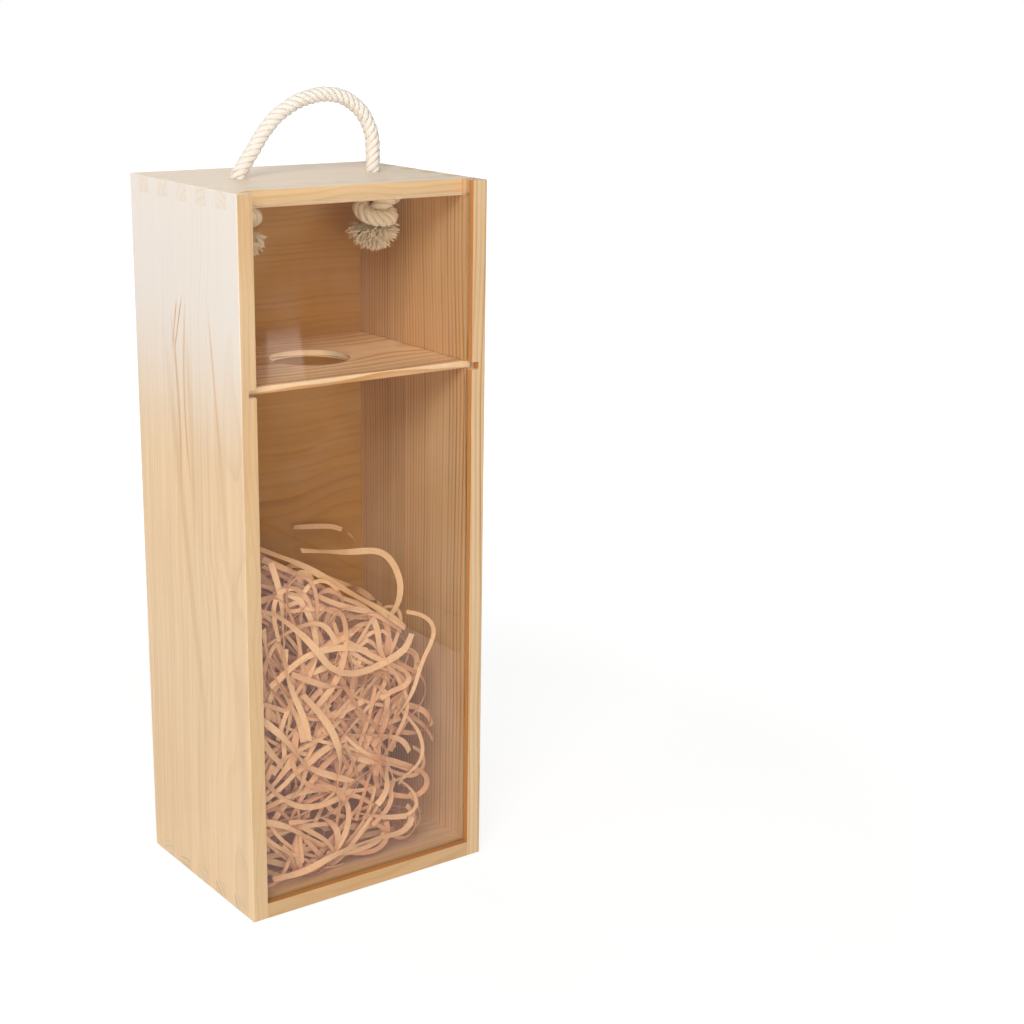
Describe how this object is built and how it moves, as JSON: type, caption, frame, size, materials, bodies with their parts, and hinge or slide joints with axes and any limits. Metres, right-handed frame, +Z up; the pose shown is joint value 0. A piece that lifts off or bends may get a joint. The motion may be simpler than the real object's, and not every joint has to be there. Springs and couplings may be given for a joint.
{
  "type": "wooden wine box",
  "caption": "Tall pine box for a single bottle, with a clear sliding front, a shelf that steadies the neck, a knotted rope handle and a nest of paper strips.",
  "frame": {"origin": "the middle of the footprint, on the surface that the box stands on", "axes": "+Z up; +Y from the clear front to the back panel; +X to the right as seen from the front"},
  "size_m": [0.136, 0.107, 0.3965],
  "materials": {
    "side_pine": "matte",
    "top_pine": "matte",
    "bottom_pine": "matte",
    "panel_pine": "matte",
    "shelf_pine": "matte",
    "clear_acrylic": "gloss",
    "cotton_rope": "matte",
    "shredded_paper": "matte"
  },
  "bodies": {
    "box": {"left_side_board": "side_pine", "right_side_board": "side_pine", "top_board": "top_pine", "bottom_board": "bottom_pine", "back_panel": "panel_pine", "neck_shelf": "shelf_pine", "rope_knot_left": "cotton_rope", "rope_knot_right": "cotton_rope", "paper_filler": "shredded_paper"},
    "cover": {"sliding_cover": "clear_acrylic"},
    "handle": {"rope_handle": "cotton_rope"}
  },
  "joints": [
    {"name": "cover_slide", "type": "slide", "parent": "box", "child": "cover", "axis": [0, 0, 1], "range_m": [0, 0.352]},
    {"name": "handle_tip", "type": "hinge", "parent": "box", "child": "handle", "pos_m": [0, 0.0049, 0.3585], "axis": [1, 0, 0], "range_deg": [-75, 75], "stiffness_Nm_per_rad": 0.01}
  ]
}
